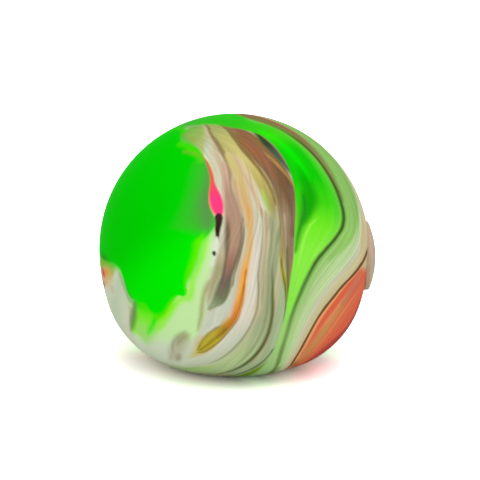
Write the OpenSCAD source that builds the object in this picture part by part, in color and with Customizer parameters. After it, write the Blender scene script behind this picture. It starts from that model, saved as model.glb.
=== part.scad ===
// Squishy ball at rest: a marbled soft skin, the dough inside it, and the glued plug in its fill hole.
// +Z is up, the origin is the middle of the flat that the ball rests on, and the plug points along +X.

/* [Ball] */
// Radius of the ball's round upper half
ball_r = 35; // [30:0.5:50]
// How far the resting ball has settled below a full sphere
settle = 4.6; // [3:0.1:8]
// Radius of the side's curve below the widest level, where the weight makes the ball fuller
side_r = 48; // [42:0.5:60]
// Rounding between the ball's side and the flat that it rests on
foot_round = 23; // [14:0.5:25]
// Thickness of the skin
skin_t = 2.6; // [1.6:0.1:4]

/* [Filling] */
// Gap between the filling and what holds it
fill_gap = 0.1; // [0.05:0.05:0.5]

/* [Fill hole] */
// Radius of the hole that the filling goes in through
hole_r = 4.5; // [3:0.1:6]
// Wall of the neck that thickens the skin around the hole
neck_wall = 2.4; // [1:0.1:3]
// Length of the hole, from the plug's seat to the inner end of the neck
neck_len = 5.5; // [4.5:0.1:9]
// How far the hole's axis lies below the ball's centre
hole_drop = 2.4; // [0:0.1:5]
// Depth of the plug's seat in the skin, at its shallowest side
seat_sink = 0.1; // [0.05:0.05:0.6]

/* [Plug] */
// Radius of the plug's head
head_r = 9; // [8:0.1:11]
// Height of the head at its edge
head_edge = 1.3; // [0.8:0.1:2.5]
// How far the head's crown rises above its edge
head_crown = 1.9; // [0.6:0.1:3]
// Rounding between the head's edge and its crown
edge_round = 0.6; // [0.2:0.1:0.7]
// Gap around the head in its seat
head_gap = 0.2; // [0.1:0.05:0.5]
// Gap around the stem in the hole
stem_gap = 0.05; // [0.02:0.01:0.2]
// How far the barb stands out past the hole
barb_lip = 1; // [0.5:0.1:2]
// Radius of the barb's blunt tip
barb_tip_r = 3.2; // [1.5:0.1:4]
// Length of the barb
barb_len = 2.2; // [1:0.1:4]
// Gap between the barb's shoulder and the neck
barb_gap = 0.1; // [0.05:0.05:0.4]

/* [Glue] */
// Thickness of the glue under the head
glue_t = 0.15; // [0.1:0.05:0.4]
// How far the glue stays back from the head's edge and from the hole
glue_inset = 0.4; // [0.1:0.1:1]

/* [Hidden] */
$fn = 128;
centre_h = ball_r - settle;
hole_h = centre_h - hole_drop;
// Distances from the ball's axis to the centre of the lower side's curve, which meets the upper half smoothly,
// and to the centre of the foot rounding, which meets that side and the flat
side_x = ball_r - side_r;
foot_x = side_x + sqrt((side_r - foot_round) ^ 2 - (centre_h - foot_round) ^ 2);
// How far joined shapes lap over each other, so that they cross cleanly
lap = 0.01;
neck_r = hole_r + neck_wall;
seat_r = head_r + head_gap;
seat_x = side_x + sqrt(side_r ^ 2 - (seat_r + hole_drop) ^ 2) - seat_sink;
neck_x = seat_x - neck_len;
head_x = seat_x + glue_t;
crown_r = (head_r ^ 2 + head_crown ^ 2) / (2 * head_crown);
crown_x = head_x + head_edge + head_crown - crown_r;
// Where the edge rounding is centred along the hole, and the radius at which it meets the crown
round_x = crown_x + sqrt((crown_r - edge_round) ^ 2 - (head_r - edge_round) ^ 2);
crown_meet_r = (head_r - edge_round) * crown_r / (crown_r - edge_round);
stem_r = hole_r - stem_gap;
shoulder_x = neck_x - barb_gap;
tip_x = shoulder_x - barb_len;
// How far a cut runs past the face that it opens
past = 1;

// Height at which the lower side, moved inwards by inset, runs into the foot rounding
function join_h(inset) = centre_h - (side_r - inset) * (centre_h - foot_round) / (side_r - foot_round);

// Half of the settled ball's outline, moved inwards by inset: the round upper half, the fuller lower side, the foot
// rounding and the flat
module half_outline(inset) {
    intersection() {
        union() {
            intersection() {
                translate([0, centre_h]) circle(ball_r - inset);
                translate([-past, centre_h - lap]) square(2 * ball_r);
            }
            intersection() {
                translate([side_x, centre_h]) circle(side_r - inset);
                translate([-past, join_h(inset)]) square([2 * ball_r, centre_h - join_h(inset)]);
            }
            translate([foot_x, foot_round]) circle(foot_round - inset + lap);
            translate([-past, -past]) square([foot_x + past, join_h(inset) + 2 * past]);
        }
        translate([0, inset]) square(2 * ball_r);
    }
}

module settled_ball(inset) {
    rotate_extrude() half_outline(inset);
}

// A round bar along the hole's axis, from one x to another
module along_hole(from_x, to_x, r) {
    translate([from_x, 0, hole_h]) rotate([0, 90, 0]) cylinder(r = r, h = to_x - from_x);
}

module marbled_skin() {
    color("limegreen") difference() {
        union() {
            difference() {
                settled_ball(0);
                settled_ball(skin_t);
            }
            along_hole(neck_x, seat_x, neck_r);
        }
        along_hole(neck_x - past, seat_x + past, hole_r);
        along_hole(seat_x, ball_r + past, seat_r);
    }
}

module dough_filling() {
    color("ivory") difference() {
        settled_ball(skin_t + fill_gap);
        along_hole(tip_x - fill_gap, ball_r + past, neck_r + fill_gap);
    }
}

// Half of the plug's head along the hole: the crown, the rounding and the straight edge
module half_head() {
    intersection() {
        union() {
            intersection() {
                translate([0, crown_x]) circle(crown_r);
                translate([0, head_x]) square([crown_meet_r, head_edge + head_crown + past]);
            }
            translate([head_r - edge_round, round_x]) circle(edge_round + lap);
            translate([0, head_x]) square([head_r, round_x - head_x]);
        }
        translate([0, head_x]) square([head_r, head_edge + head_crown + past]);
    }
}

// Half of the plug's stem along the hole, from the barb's blunt tip up into the head
module half_stem() {
    polygon([
        [0, tip_x],
        [barb_tip_r, tip_x],
        [hole_r + barb_lip, shoulder_x],
        [stem_r, shoulder_x],
        [stem_r, head_x + lap],
        [0, head_x + lap]
    ]);
}

module fill_plug() {
    color("tan") translate([0, 0, hole_h]) rotate([0, 90, 0]) rotate_extrude() {
        half_head();
        half_stem();
    }
}

module glue_ring() {
    color("wheat") difference() {
        along_hole(seat_x, head_x, head_r - glue_inset);
        along_hole(seat_x - past, head_x + past, hole_r + glue_inset);
    }
}

marbled_skin();
dough_filling();
fill_plug();
glue_ring();
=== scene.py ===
import bpy
import numpy as np
from mathutils import Matrix, Vector


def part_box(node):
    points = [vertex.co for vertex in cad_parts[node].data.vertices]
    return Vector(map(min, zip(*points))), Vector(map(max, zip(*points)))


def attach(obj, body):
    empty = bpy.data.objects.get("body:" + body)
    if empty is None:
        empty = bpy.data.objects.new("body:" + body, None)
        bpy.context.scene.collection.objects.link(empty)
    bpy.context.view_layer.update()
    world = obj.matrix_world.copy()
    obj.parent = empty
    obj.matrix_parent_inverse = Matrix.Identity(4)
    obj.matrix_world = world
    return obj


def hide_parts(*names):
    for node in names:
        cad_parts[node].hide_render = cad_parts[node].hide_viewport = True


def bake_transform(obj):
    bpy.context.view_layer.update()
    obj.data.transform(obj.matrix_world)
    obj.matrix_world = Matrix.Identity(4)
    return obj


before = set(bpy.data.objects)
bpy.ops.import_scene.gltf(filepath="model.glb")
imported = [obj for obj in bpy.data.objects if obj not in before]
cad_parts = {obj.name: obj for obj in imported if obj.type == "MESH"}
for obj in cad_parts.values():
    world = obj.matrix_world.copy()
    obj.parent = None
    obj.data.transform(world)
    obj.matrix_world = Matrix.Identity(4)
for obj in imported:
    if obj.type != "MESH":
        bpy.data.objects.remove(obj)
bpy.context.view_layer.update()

mm = 0.001
fullTurn = 2 * np.pi
noiseSpread = (0.3, 0.7)  # most of a noise lies between these

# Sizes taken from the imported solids, in metres
skinLow, skinHigh = (np.array(corner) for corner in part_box("marbled_skin"))
plugLow, plugHigh = (np.array(corner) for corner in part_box("fill_plug"))
glueLow, glueHigh = (np.array(corner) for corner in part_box("glue_ring"))

ball = dict(
    radius=(skinHigh[1] - skinLow[1]) / 2,
    height=skinHigh[2],
    sideRound=48 * mm,  # curve of the side below the widest level
    footRound=23 * mm,  # rounding between that side and the flat that it rests on
)
centreHeight = ball["height"] - ball["radius"]
ballCentre = np.array([0, 0, centreHeight])
farPole = np.array([-1.0, 0, 0])  # the direction away from the plug
holeHeight = (plugLow[2] + plugHigh[2]) / 2
holeDrop = centreHeight - holeHeight
seatX = glueLow[0]
headR = (plugHigh[1] - plugLow[1]) / 2
sideShift = ball["sideRound"] - ball["radius"]  # how far past the axis the lower side's curve is centred
footX = -sideShift + np.sqrt(
    (ball["sideRound"] - ball["footRound"]) ** 2 - (centreHeight - ball["footRound"]) ** 2)


# Distance from the ball's centre to its surface along unit directions, moved inwards by inset: the radius
# above the widest level, and below it the far root of the side's circle, then of the foot's, and last the
# flat's plane
def settledReach(directions, inset=0.0):
    across = np.hypot(directions[..., 0], directions[..., 1])
    rise = directions[..., 2]
    slope = np.arctan2(rise, across)

    def toCircle(x, z, radius):
        toward = across * x + rise * z
        return toward + np.sqrt(np.maximum(toward ** 2 - x ** 2 - z ** 2 + radius ** 2, 0))

    sideR = ball["sideRound"] - inset
    footRise = ball["footRound"] - centreHeight
    lean = np.arctan2(footRise, footX + sideShift)
    joinSlope = np.arctan2(sideR * np.sin(lean), sideR * np.cos(lean) - sideShift)
    flatSlope = np.arctan2(inset - centreHeight, footX)
    flatReach = (centreHeight - inset) / np.maximum(-rise, 1e-6)
    footReach = toCircle(footX, footRise, ball["footRound"] - inset)
    reach = np.where(slope < flatSlope, flatReach, footReach)
    reach = np.where(slope > joinSlope, toCircle(-sideShift, 0, sideR), reach)
    return np.where(slope > 0, ball["radius"] - inset, reach)


def settledBall(directions, inset=0.0):
    return ballCentre + directions * settledReach(directions, inset)[..., None]


# Great-circle rows from each start direction to one end direction: a weighted sum of the two by sines
def sweepTo(starts, end, steps):
    angle = np.arccos(np.clip(starts @ end, -1, 1))[None, :, None]
    share = steps[:, None, None]
    return (np.sin((1 - share) * angle) * starts + np.sin(share * angle) * end) / np.sin(angle)


# Circle of a radius about the hole's axis, at one x or at an x for each point
def holeCircle(radius, x, turns):
    y = radius * np.cos(turns)
    z = holeHeight + radius * np.sin(turns)
    return np.stack([np.broadcast_to(x, y.shape), y, z], -1)


# The x at which such a circle meets the ball's side, moved inwards by inset: the side's radius at each level,
# then the x on it for each y
def sideX(radius, turns, inset=0.0):
    y = radius * np.cos(turns)
    z = radius * np.sin(turns) - holeDrop
    upper = np.sqrt((ball["radius"] - inset) ** 2 - z ** 2)
    lower = np.sqrt((ball["sideRound"] - inset) ** 2 - z ** 2) - sideShift
    return np.sqrt(np.where(z > 0, upper, lower) ** 2 - y ** 2)


# Straight rows between two rings, each a share of the way from the first to the last
def ruled(first, last, steps):
    return first + (last - first) * steps[:, None, None]


def unit(vectors):
    return vectors / np.linalg.norm(vectors, axis=-1, keepdims=True)


# Rows of rings closed round, with one point at each end: quads between the rings and fans at the ends
def ringMesh(name, rows, startPoint, endPoint, replaced, slotName, material):
    count, around = rows.shape[:2]
    points = np.concatenate([rows.reshape(-1, 3), [startPoint, endPoint]])
    ring = np.arange(around)
    ahead = (ring + 1) % around
    base = (np.arange(count - 1) * around)[:, None]
    quads = np.stack([base + ring, base + ahead, base + around + ahead, base + around + ring], -1)
    quads = quads.reshape(-1, 4)
    first, last = count * around, count * around + 1
    top = (count - 1) * around
    fans = np.concatenate([
        np.stack([np.full(around, first), ahead, ring], -1),
        np.stack([np.full(around, last), top + ring, top + ahead], -1),
    ])
    a, b, c, d = (points[quads[:, i]] for i in range(4))
    volume = np.sum(a * np.cross(b, c)) + np.sum(a * np.cross(c, d))
    if volume < 0:  # inside out
        quads, fans = quads[:, ::-1], fans[:, ::-1]
    corners = np.concatenate([quads.ravel(), fans.ravel()]).astype(np.int32)
    totals = np.concatenate([np.full(len(quads), 4), np.full(len(fans), 3)]).astype(np.int32)
    mesh = bpy.data.meshes.new(name)
    mesh.vertices.add(len(points))
    mesh.vertices.foreach_set("co", points.astype(np.float32).ravel())
    mesh.loops.add(len(corners))
    mesh.loops.foreach_set("vertex_index", corners)
    mesh.polygons.add(len(totals))
    starts = np.concatenate([[0], np.cumsum(totals)[:-1]]).astype(np.int32)
    mesh.polygons.foreach_set("loop_start", starts)
    mesh.polygons.foreach_set("loop_total", totals)
    mesh.polygons.foreach_set("use_smooth", np.ones(len(totals), bool))
    mesh.update(calc_edges=True)
    mesh.validate()
    home = mesh.attributes.new("home", "FLOAT_VECTOR", "POINT")  # where each point lies at rest
    home.data.foreach_set("vector", points.astype(np.float32).ravel())
    piece = bpy.data.objects.new(name, mesh)
    bpy.context.scene.collection.objects.link(piece)
    mesh.materials.append(material)
    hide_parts(replaced)
    print(f"{name}: {len(points)} points, {2 * len(quads) + len(fans)} triangles")
    return piece


# A shader socket that takes part in Python sums: numbers use Math and vectors Vector Math
class Wire:
    def __init__(self, finish, socket):
        self.finish = finish
        self.socket = socket

    def sum(self, operation, first, second=None):
        kind = "ShaderNodeVectorMath" if self.socket.type == "VECTOR" else "ShaderNodeMath"
        values = {0: first} if second is None else {0: first, 1: second}
        return self.finish.node(kind, {"operation": operation}, values)

    def __add__(self, other):
        return self.sum("ADD", self, other)

    def __radd__(self, other):
        return self.sum("ADD", other, self)

    def __sub__(self, other):
        return self.sum("SUBTRACT", self, other)

    def __rsub__(self, other):
        return self.sum("SUBTRACT", other, self)

    def __mul__(self, other):
        return self.sum("MULTIPLY", self, other)

    def __rmul__(self, other):
        return self.sum("MULTIPLY", other, self)

    def __abs__(self):
        return self.sum("ABSOLUTE", self)

    def dot(self, vector):
        settings = {"operation": "DOT_PRODUCT"}
        return self.finish.node("ShaderNodeVectorMath", settings, {0: self, 1: vector}, "Value")


# One material and the one method that makes any of its nodes
class Finish:
    def __init__(self, name, **constants):
        self.material = bpy.data.materials.new(name)
        self.material.use_nodes = True
        self.tree = self.material.node_tree
        self.shader = self.tree.nodes["Principled BSDF"]
        for label, value in constants.items():
            self.shader.inputs[label].default_value = value

    def feed(self, socket, value):
        if isinstance(value, Wire):
            self.tree.links.new(value.socket, socket)
        else:
            socket.default_value = value

    def node(self, kind, settings=None, inputs=None, output=0):
        made = self.tree.nodes.new(kind)
        for label, value in (settings or {}).items():
            if label == "stops":
                setStops(made.color_ramp, value)
            elif label == "points":
                setPoints(made.mapping, value)
            else:
                setattr(made, label, value)
        for label, value in (inputs or {}).items():
            self.feed(made.inputs[label], value)
        return Wire(self, made.outputs[output])

    def mix(self, under, over, share):
        return self.node("ShaderNodeMix", {"data_type": "RGBA"}, {0: share, 6: under, 7: over}, 2)

    # A colour made lighter or darker by a factor
    def dim(self, colour, factor):
        return self.node("ShaderNodeHueSaturation", None, {"Color": colour, "Value": factor})

    # 0 at low and 1 at high, eased at both ends
    def ease(self, value, low, high):
        settings = {"interpolation_type": "SMOOTHSTEP"}
        return self.node("ShaderNodeMapRange", settings, {"Value": value, "From Min": low, "From Max": high})

    # The same without the easing
    def share(self, value, low, high):
        return self.node("ShaderNodeMapRange", None, {"Value": value, "From Min": low, "From Max": high})

    def curve(self, value, points):
        return self.node("ShaderNodeFloatCurve", {"points": points}, {"Value": value})

    def ramp(self, value, stops):
        low, high = stops[0][0], stops[-1][0]
        places = [((place - low) / (high - low), pigment(name)) for place, name in stops]
        return self.node("ShaderNodeValToRGB", {"stops": places}, {"Fac": self.share(value, low, high)})

    # Object coordinates in metres
    def where(self):
        return self.node("ShaderNodeTexCoord", None, None, "Object")

    # The same, stretched by a scale for each axis
    def place(self, scale):
        return self.node("ShaderNodeMapping", None, {"Vector": self.where(), "Scale": scale})

    # A noise spread between two ends
    def between(self, value, low, high):
        ends = {"From Min": noiseSpread[0], "From Max": noiseSpread[1], "To Min": low, "To Max": high}
        return self.node("ShaderNodeMapRange", None, {"Value": value, **ends})

    def bump(self, height, strength, distance):
        inputs = {"Strength": strength, "Distance": distance, "Height": height}
        return self.node("ShaderNodeBump", None, inputs, "Normal")

    def noise(self, vector, scale, detail=2.0):
        return self.node("ShaderNodeTexNoise", None, {"Vector": vector, "Scale": scale, "Detail": detail})

    def drive(self, **wires):
        for label, wire in wires.items():
            self.tree.links.new(wire.socket, self.shader.inputs[label.replace("_", " ")])


def setStops(ramp, stops):
    while len(ramp.elements) > 1:
        ramp.elements.remove(ramp.elements[-1])
    ramp.elements[0].position, ramp.elements[0].color = stops[0]
    for place, colour in stops[1:]:
        ramp.elements.new(place).color = colour


def setPoints(mapping, points):
    mapping.use_clip = False
    line = mapping.curves[0]
    points = sorted(points)
    for spot, place in zip(line.points[:2], (points[0], points[-1])):
        spot.location = place
    for place in points[1:-1]:
        line.points.new(*place)
    mapping.update()


# Pigments as they look in plain light, red, green and blue from 0 to 255
pigments = dict(
    neonGreen=(0, 208, 0), brightGreen=(0, 240, 0), shadeGreen=(96, 137, 80), foldGreen=(30, 140, 30),
    ribbonGreen=(62, 208, 18), poolShade=(64, 180, 48), dripGreen=(40, 240, 0), limbGreen=(60, 184, 46),
    limbHaze=(44, 197, 24), edgeLime=(130, 250, 15), foldDeep=(46, 152, 30), foldShade=(6, 156, 4),
    edgeShade=(56, 150, 40), outerGreen=(78, 206, 42), limeSoft=(168, 226, 122), ribbonLime=(112, 230, 36),
    limeMid=(130, 235, 60), limeLow=(140, 235, 75), ribbonPale=(160, 215, 115), leafPale=(166, 206, 134),
    limePale=(170, 225, 130), gleam=(170, 200, 90), lime=(158, 244, 84), limePool=(125, 242, 45),
    yellowGreen=(96, 240, 4), paleGreen=(200, 238, 168), leafGreen=(144, 200, 102),
    washGreen=(136, 190, 98), edgeMoss=(90, 140, 50), dusk=(40, 140, 30), patchShade=(80, 132, 44),
    hazeDeep=(104, 182, 58), hazeGreen=(134, 182, 80), hazeOlive=(152, 182, 90), hazePale=(176, 190, 116),
    sage=(146, 154, 116), greyGreen=(168, 176, 136), mint=(196, 212, 182), paleMint=(196, 222, 164),
    zonePale=(176, 214, 140), bandPale=(170, 188, 146), sagePale=(162, 178, 138),
    fieldGreen=(184, 206, 148), fieldLime=(162, 208, 108), lineSage=(158, 158, 128),
    veinMint=(207, 212, 192), veinPale=(150, 165, 125), veinSage=(118, 128, 92), coolWhite=(222, 228, 210),
    paleWhite=(212, 222, 198), patchCream=(214, 218, 192), patchPeach=(228, 188, 140),
    patchTan=(200, 185, 160), oliveCream=(185, 185, 140), farCream=(206, 208, 172), rimGreen=(60, 90, 35),
    rimBrown=(85, 80, 40), darkGreen=(70, 106, 50), rimSage=(110, 138, 80), ribbonDeep=(16, 196, 6),
    mossGreen=(100, 112, 58), darkMoss=(82, 94, 48), inkGreen=(52, 70, 46), sliverGreen=(120, 156, 32),
    cream=(208, 206, 178), white=(224, 217, 199), mist=(192, 192, 182), grey=(152, 144, 118),
    tan=(204, 188, 152), straw=(206, 194, 122), strawPale=(206, 197, 150), strawDull=(185, 172, 96),
    oliveStraw=(165, 152, 88), sandLight=(205, 190, 145), sandWarm=(200, 178, 138), heartTan=(200, 148, 88),
    tanWarm=(206, 176, 134), veinTan=(222, 182, 116), strawWarm=(216, 188, 126), orangePale=(230, 172, 94),
    yellowTan=(194, 186, 112), olivePale=(168, 174, 104), oliveGrey=(142, 126, 80),
    # The foot's grey olive below is a painted shade colour, used low on the ball near the floor
    mauveOlive=(172, 146, 106), sliverOlive=(58, 82, 26), sliverGrey=(80, 94, 70), footOlive=(105, 112, 78),
    oliveBrown=(134, 110, 64), olive=(148, 136, 60), oliveDark=(112, 96, 18), acid=(182, 172, 40),
    mustard=(190, 170, 50), hookYellow=(198, 180, 62), mustardBrown=(176, 130, 42), honey=(206, 190, 88),
    amber=(182, 136, 72), apricot=(226, 180, 110), apricotPale=(212, 190, 148), salmon=(232, 140, 104),
    orange=(242, 170, 74), burntOrange=(224, 132, 50), rust=(188, 104, 40), peach=(238, 158, 108),
    copper=(214, 120, 76), redOrange=(220, 102, 72), crimson=(168, 62, 62), rosyRed=(205, 115, 95),
    dullRed=(165, 95, 66), coralPink=(246, 74, 98), hotPink=(255, 62, 128), rosyPale=(206, 168, 146),
    rosyTan=(172, 120, 86), rosyDull=(132, 102, 68), rosyStreak=(156, 86, 68), edgeOlive=(128, 122, 74),
    rosyBrown=(166, 122, 102), roseBrown=(150, 90, 76), mauve=(180, 145, 122), mauveGrey=(128, 106, 96),
    brown=(150, 108, 80), patchBrown=(134, 103, 62), dustBrown=(150, 124, 98), umberPale=(118, 102, 76),
    umber=(130, 102, 74), umberDark=(112, 82, 54), greyBrown=(114, 103, 86), darkBrown=(112, 82, 42),
    darkPlum=(70, 40, 42), blackBrown=(48, 36, 28), terracotta=(178, 94, 62), emberOrange=(236, 152, 92),
    emberPink=(238, 168, 156), glowOlive=(128, 190, 44), hazeLime=(138, 210, 80), leafBrown=(142, 98, 66),
    smudge=(176, 160, 126), smudgeGrey=(165, 150, 120), smudgeOlive=(168, 160, 114),
    smudgeDark=(112, 106, 72), blot=(150, 132, 96), plugPink=(192, 166, 142), plugTan=(164, 148, 126),
    plugSage=(184, 168, 140), plugLine=(142, 124, 102), doughIvory=(232, 224, 202),
    doughCream=(218, 208, 182), doughFleck=(200, 186, 156), glueClear=(228, 220, 196),
    glueYellow=(214, 198, 152),
)


# A pigment in linear light, by the usual display curve
def pigment(name):
    shade = np.array(pigments[name]) / 255
    linear = np.where(shade <= 0.04045, shade / 12.92, ((shade + 0.055) / 1.055) ** 2.4)
    return (*(float(part) for part in linear), 1.0)


# The marbled skin. The colours were poured round one green pool, so everything is placed by two angles seen
# from the ball's centre: out, from the pool's middle, and around, from the right of the pool and upwards.
skin = dict(
    wall=2.6 * mm,
    holeR=4.5 * mm,
    neckWall=2.4 * mm,
    neckLength=5.5 * mm,
    seatGap=0.2 * mm,
    rimRound=0.25 * mm,
    rimMost=0.8,  # share of the seat's wall that the rounding of its rim may take
    around=300,
    outerRows=250,
    innerRows=36,
    rimRows=6,
    neckRows=4,
    faceRows=3,
    pressStart=-20 * mm,  # where the wall starts to give when the plug's side is squeezed
    pool=dict(azimuth=-40.7, elevation=16.8, tilt=12.6),
    gloss=0.005,
    roughness=(0.48, 0.56),
    speckle=dict(scale=900, strength=0.05, depth=0.4 * mm),
    wander=dict(along=1.6, across=0.22, out=1.3, around=0.3),  # scales of a noise and its share in each
    # Noise drawn out along the flow: its scale along it, its scale across the bands, its detail and a shift
    thread=(1.3, 24, 3, 0),
    fibre=(2, 60, 2, 0),
    tint=(1.1, 15, 2, 40),
    sheen=(1.3, 17, 3, 0),
    threadShade=(0.83, 1.1),
    fibreShade=(0.93, 1.06),
    sheenShade=(0.94, 1.05),
    warmTint=dict(start=0.56, full=0.72, share=0.22),
    greenTint=dict(start=0.44, full=0.28, share=0.3),
    calm=dict(turns=(-22, -40), warm=0.1, dark=0.08, light=0.05),  # where threads fade, and by how much
    backTurns=(112, 136),  # between these the near bands give way to the back's
    farBand=(1.6, 1.61),  # the change to the far bands, which the ribbon hides
    leaf=dict(soft=0.3, tip=(-70, -60), root=(0, -4), under=(140, 126), sand=(-9.5, -13), line=(0.3, -0.1)),
    ribbon=dict(lap=0.4, soft=0.5, rimSoft=(-1.4, 1)),
    poolLow=dict(right=0.45, up=0.9, soft=(-0.12, 0.34)),  # the pool's brighter side
    streakEnd=1.5,  # degrees in which a streak ends
)

# Lines that the flow follows, as (around, out) in degrees
flow = dict(
    poolEdge=[(-180, 54), (-172, 43.5), (-165, 34), (-158, 28.5), (-151, 25.8), (-140, 26), (-132, 28.5),
        (-124, 31), (-116, 31), (-106, 31), (-99, 35), (-92, 34), (-84, 31), (-76, 28.6), (-70, 27.5),
        (-65, 28.9), (-61, 28.4), (-57, 26.4), (-45, 25.2), (-30, 24.4), (-15, 23.9), (-6, 25), (0, 27),
        (4, 28.2), (8, 28.7), (12, 28.7), (17, 28), (22, 27.6), (30, 28.4), (45, 33.6), (60, 38.2),
        (70, 42), (80, 44.4), (86, 46), (90, 49.5), (93, 53.5), (96, 56), (104, 60.5), (130, 65), (160, 62),
        (180, 54)],
    ribbonIn=[(-180, 80), (-150, 88), (-120, 92), (-90, 88), (-75, 82), (-60, 75.2), (-55, 73.2), (-50, 71),
        (-45, 69.2), (-37, 66.8), (-30, 64.6), (-20, 62.6), (-10, 61.9), (0, 61.6), (5, 62), (15, 63.6),
        (22, 65), (30, 66.2), (37, 67), (45, 67.2), (50, 66.9), (55, 66.2), (62, 63.6), (70, 60.9),
        (80, 59.4), (90, 58), (97, 59.4), (104, 63.4), (130, 69), (150, 73), (180, 80)],
    ribbonOut=[(-180, 94), (-150, 100), (-120, 102), (-90, 97), (-75, 91), (-67, 86.4), (-60, 80.6),
        (-55, 77), (-50, 74.2), (-45, 72.1), (-40, 70.5), (-35, 69.5), (-30, 69), (-25, 69.1), (-20, 69.7),
        (-15, 71.1), (-10, 73.5), (-5, 77.6), (0, 82.8), (5, 87.3), (10, 89), (15, 88.8), (30, 86.4),
        (45, 82.6), (52, 80.2), (60, 77.2), (68, 74.6), (75, 75), (82, 78), (90, 81), (120, 87), (150, 90),
        (180, 94)],
    leafEdge=[(-180, 116), (-120, 112), (-90, 105), (-75, 98), (-65, 92.8), (-60, 89.6), (-55, 86.7),
        (-50, 84.5), (-45, 83.1), (-40, 82.6), (-35, 83), (-30, 84.5), (-25, 87.2), (-20, 91), (-15, 97.3),
        (-10, 104.2), (-5, 111), (0, 115), (10, 117), (60, 114), (120, 112), (180, 116)],
    farPool=[(-180, 150), (-135, 140), (-90, 146), (-45, 152), (0, 158), (45, 152), (90, 142), (135, 148),
        (180, 150)],
)

# Colours across the flow: 0 is the pool's edge, 1 and 2 the ribbon's edges, 3 the leaf's edge, 4 the far pool
nearBands = [(0, "paleGreen"), (0.1, "cream"), (0.3, "cream"), (0.42, "tan"), (0.5, "white"),
    (0.62, "cream"), (0.7, "tan"), (0.8, "greyGreen"), (0.9, "tan"), (1, "greyGreen")]
backBands = [(0, "paleGreen"), (0.1, "cream"), (0.2, "cream"), (0.27, "mauve"), (0.36, "brown"),
    (0.4, "cream"), (0.46, "apricot"), (0.5, "white"), (0.6, "cream"), (0.64, "grey"), (0.67, "tan"),
    (0.75, "greyGreen"), (0.8, "cream"), (0.85, "olive"), (0.88, "brown"), (0.95, "terracotta"), (1, "tan")]
farBands = [(2, "leafGreen"), (2.06, "leafGreen"), (2.2, "zonePale"), (2.5, "paleMint"), (2.65, "farCream"),
    (2.85, "strawPale"), (2.96, "tan"), (3.02, "tan"), (3.09, "cream"), (3.2, "tan"), (3.3, "mauve"),
    (3.36, "cream"), (3.44, "apricot"), (3.48, "white"), (3.58, "greyGreen"), (3.62, "brown"), (3.7, "tan"),
    (3.76, "darkGreen"), (3.8, "lime"), (3.9, "ribbonGreen"), (3.95, "brightGreen"), (4, "neonGreen")]

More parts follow.
